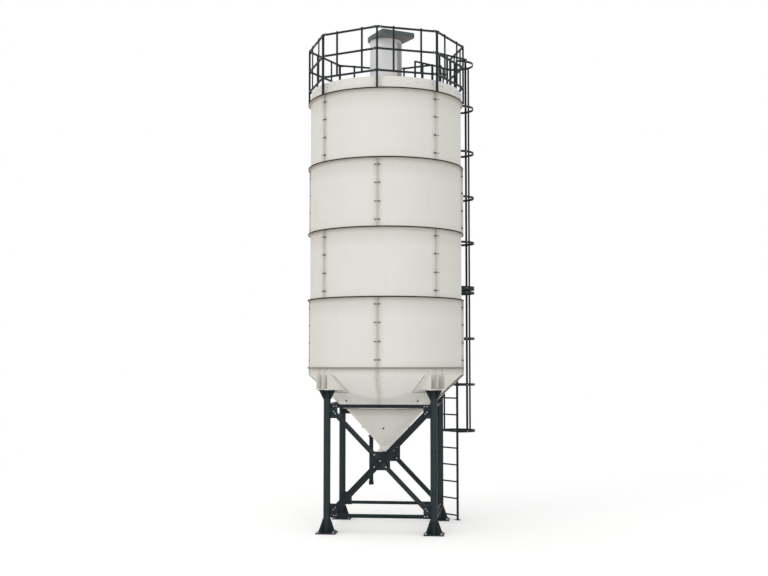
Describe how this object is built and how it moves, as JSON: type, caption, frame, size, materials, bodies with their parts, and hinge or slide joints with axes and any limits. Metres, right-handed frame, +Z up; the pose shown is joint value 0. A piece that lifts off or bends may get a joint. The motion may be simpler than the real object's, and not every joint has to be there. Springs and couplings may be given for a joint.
{
  "type": "cement silo",
  "caption": "Bolted storage silo for cement on four braced legs, with a conical hopper, roof filter, guard rail, caged access ladder and fill pipe.",
  "frame": {"origin": "on the silo's vertical axis at ground level, under the middle of the four foot plates", "axes": "+Z up along the silo's axis, -Y to the front face with the cross braces, +X to the right seen from the front"},
  "size_m": [3.2916, 3.2916, 9.736],
  "materials": {
    "shell_paint": "satin",
    "frame_paint": "satin",
    "filter_metal": "satin",
    "cap_paint": "satin"
  },
  "bodies": {
    "root": {"brace_front_halves": "frame_paint", "brace_front_main": "frame_paint", "brace_front_plate": "frame_paint", "brace_rear_halves": "frame_paint", "brace_rear_main": "frame_paint", "brace_rear_plate": "frame_paint", "bracket_fl": "shell_paint", "bracket_fr": "shell_paint", "bracket_rl": "shell_paint", "bracket_rr": "shell_paint", "cage_bars": "frame_paint", "cage_hoops": "frame_paint", "fill_coupling": "frame_paint", "fill_pipe": "frame_paint", "filter_body": "filter_metal", "filter_cap": "cap_paint", "hopper_lower": "shell_paint", "hopper_upper": "shell_paint", "ladder": "frame_paint", "ladder_brackets": "frame_paint", "leg_fl": "frame_paint", "leg_fr": "frame_paint", "leg_rl": "frame_paint", "leg_rr": "frame_paint", "outlet_flange": "shell_paint", "pipe_clamps": "frame_paint", "rail_front_left": "frame_paint", "rail_front_right": "frame_paint", "rail_left_front": "frame_paint", "rail_left_rear": "frame_paint", "rail_posts": "frame_paint", "rail_rear_left": "frame_paint", "rail_rear_right": "frame_paint", "rail_right_front": "frame_paint", "rail_right_rear": "frame_paint", "roof_deck": "shell_paint", "roof_handrails": "frame_paint", "shell_ring_1": "shell_paint", "shell_ring_2": "shell_paint", "shell_ring_3": "shell_paint", "shell_ring_4": "shell_paint", "tie_high_front": "frame_paint", "tie_high_left": "frame_paint", "tie_high_rear": "frame_paint", "tie_high_right": "frame_paint", "tie_low_front": "frame_paint", "tie_low_left": "frame_paint", "tie_low_rear": "frame_paint", "tie_low_right": "frame_paint", "toe_board": "shell_paint"}
  },
  "joints": []
}
